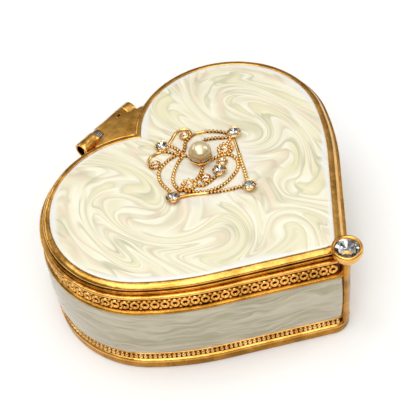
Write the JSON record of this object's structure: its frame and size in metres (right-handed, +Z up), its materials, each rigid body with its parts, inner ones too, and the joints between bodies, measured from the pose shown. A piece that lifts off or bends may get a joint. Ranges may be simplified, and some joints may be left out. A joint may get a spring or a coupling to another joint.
{
  "type": "wind up music box",
  "caption": "Heart-shaped gold trinket music box with marbled enamel lid, jewelled crown ornament, rear hinge, and a key-wound comb and cylinder movement under a clear tray.",
  "frame": {"origin": "centre of the whole object's footprint at table level", "axes": "+Z up, heart tip and thumb tab towards -Y, hinge towards +Y, symmetric in X"},
  "size_m": [0.0904, 0.0842, 0.039],
  "materials": {
    "antique_gold": "polished antique gold plate",
    "lid_pearl_enamel": "glossy marbled pearl enamel",
    "side_pearl_enamel": "glossy streaked pearl enamel",
    "zinc": "satin cast",
    "steel": "satin",
    "comb_steel": "ground",
    "brass": "polished",
    "spring_steel": "blued",
    "nylon": "moulded",
    "black_plate": "satin lacquer",
    "clear_acrylic": "polished clear acrylic",
    "magnet": "nickel plated",
    "blush_crystal": "faceted",
    "clear_crystal": "faceted",
    "pearl": "pearl lustre"
  },
  "bodies": {
    "case": {"body_shell": "antique_gold", "side_enamel_left": "side_pearl_enamel", "side_enamel_right": "side_pearl_enamel", "base_plate": "black_plate", "base_screws": "steel", "movement_bedplate": "zinc", "movement_screws": "steel", "comb_base": "zinc", "comb": "comb_steel", "comb_screws": "brass", "cylinder_bracket": "zinc", "wrap_spring": "spring_steel", "governor_bracket": "zinc", "stop_spring": "spring_steel", "guide_bush": "brass", "cover_window": "clear_acrylic", "cover_screws": "brass", "body_magnet": "magnet", "hinge_body_leaf": "antique_gold", "hinge_pin": "steel", "hinge_spring_washer": "steel"},
    "lid": {"lid_shell": "antique_gold", "lid_enamel": "lid_pearl_enamel", "lid_magnet": "magnet", "hinge_lid_leaf": "antique_gold", "clasp_bezel": "antique_gold", "clasp_crystal": "clear_crystal", "filigree_crown": "antique_gold", "pearl_cup": "antique_gold", "pearl": "pearl", "stone_bezels": "antique_gold", "corner_stones": "clear_crystal", "accent_stones": "blush_crystal"},
    "cylinder": {"cylinder_sleeve": "brass", "cylinder_pins": "steel", "cylinder_arbor": "steel", "cylinder_pinion": "brass", "cylinder_gear": "brass"},
    "barrel": {"spring_barrel": "zinc", "barrel_crown_gear": "brass", "mainspring": "spring_steel"},
    "winding": {"winding_arbor": "steel", "winding_key": "brass"},
    "governor_wheel": {"governor_arbor": "steel", "governor_pinion": "brass", "worm_wheel": "nylon"},
    "fan": {"fan_worm": "steel", "air_fan": "nylon"},
    "stop": {"stop_pin": "steel"}
  },
  "joints": [
    {"name": "lid_hinge", "type": "hinge", "parent": "case", "child": "lid", "pos_m": [0, 0.0392, 0.0292], "axis": [-1, 0, 0], "range_deg": [0, 100]},
    {"name": "cylinder_spin", "type": "hinge", "parent": "case", "child": "cylinder", "pos_m": [0, 0.006, 0.017], "axis": [1, 0, 0], "continuous": true},
    {"name": "barrel_spin", "type": "hinge", "parent": "case", "child": "barrel", "pos_m": [-0.01875, 0.006, 0.012], "axis": [0, 0, 1], "continuous": true},
    {"name": "governor_spin", "type": "hinge", "parent": "case", "child": "governor_wheel", "pos_m": [0.0215, 0.01278, 0.0202], "axis": [1, 0, 0], "continuous": true},
    {"name": "fan_spin", "type": "hinge", "parent": "case", "child": "fan", "pos_m": [0.0215, 0.01695, 0.016], "axis": [0, 0, 1], "continuous": true},
    {"name": "key_winding", "type": "hinge", "parent": "case", "child": "winding", "pos_m": [-0.01875, 0.006, 0.005], "axis": [0, 0, 1], "continuous": true},
    {"name": "stop_pin_slide", "type": "slide", "parent": "case", "child": "stop", "axis": [0, 0, 1], "range_m": [0, 0.0025]}
  ],
  "couplings": [
    {"joint": "barrel_spin", "follows": "cylinder_spin", "ratio": 0.25},
    {"joint": "governor_spin", "follows": "cylinder_spin", "ratio": -4},
    {"joint": "fan_spin", "follows": "cylinder_spin", "ratio": 40},
    {"joint": "stop_pin_slide", "follows": "lid_hinge", "m_per_rad": 0.00143}
  ]
}
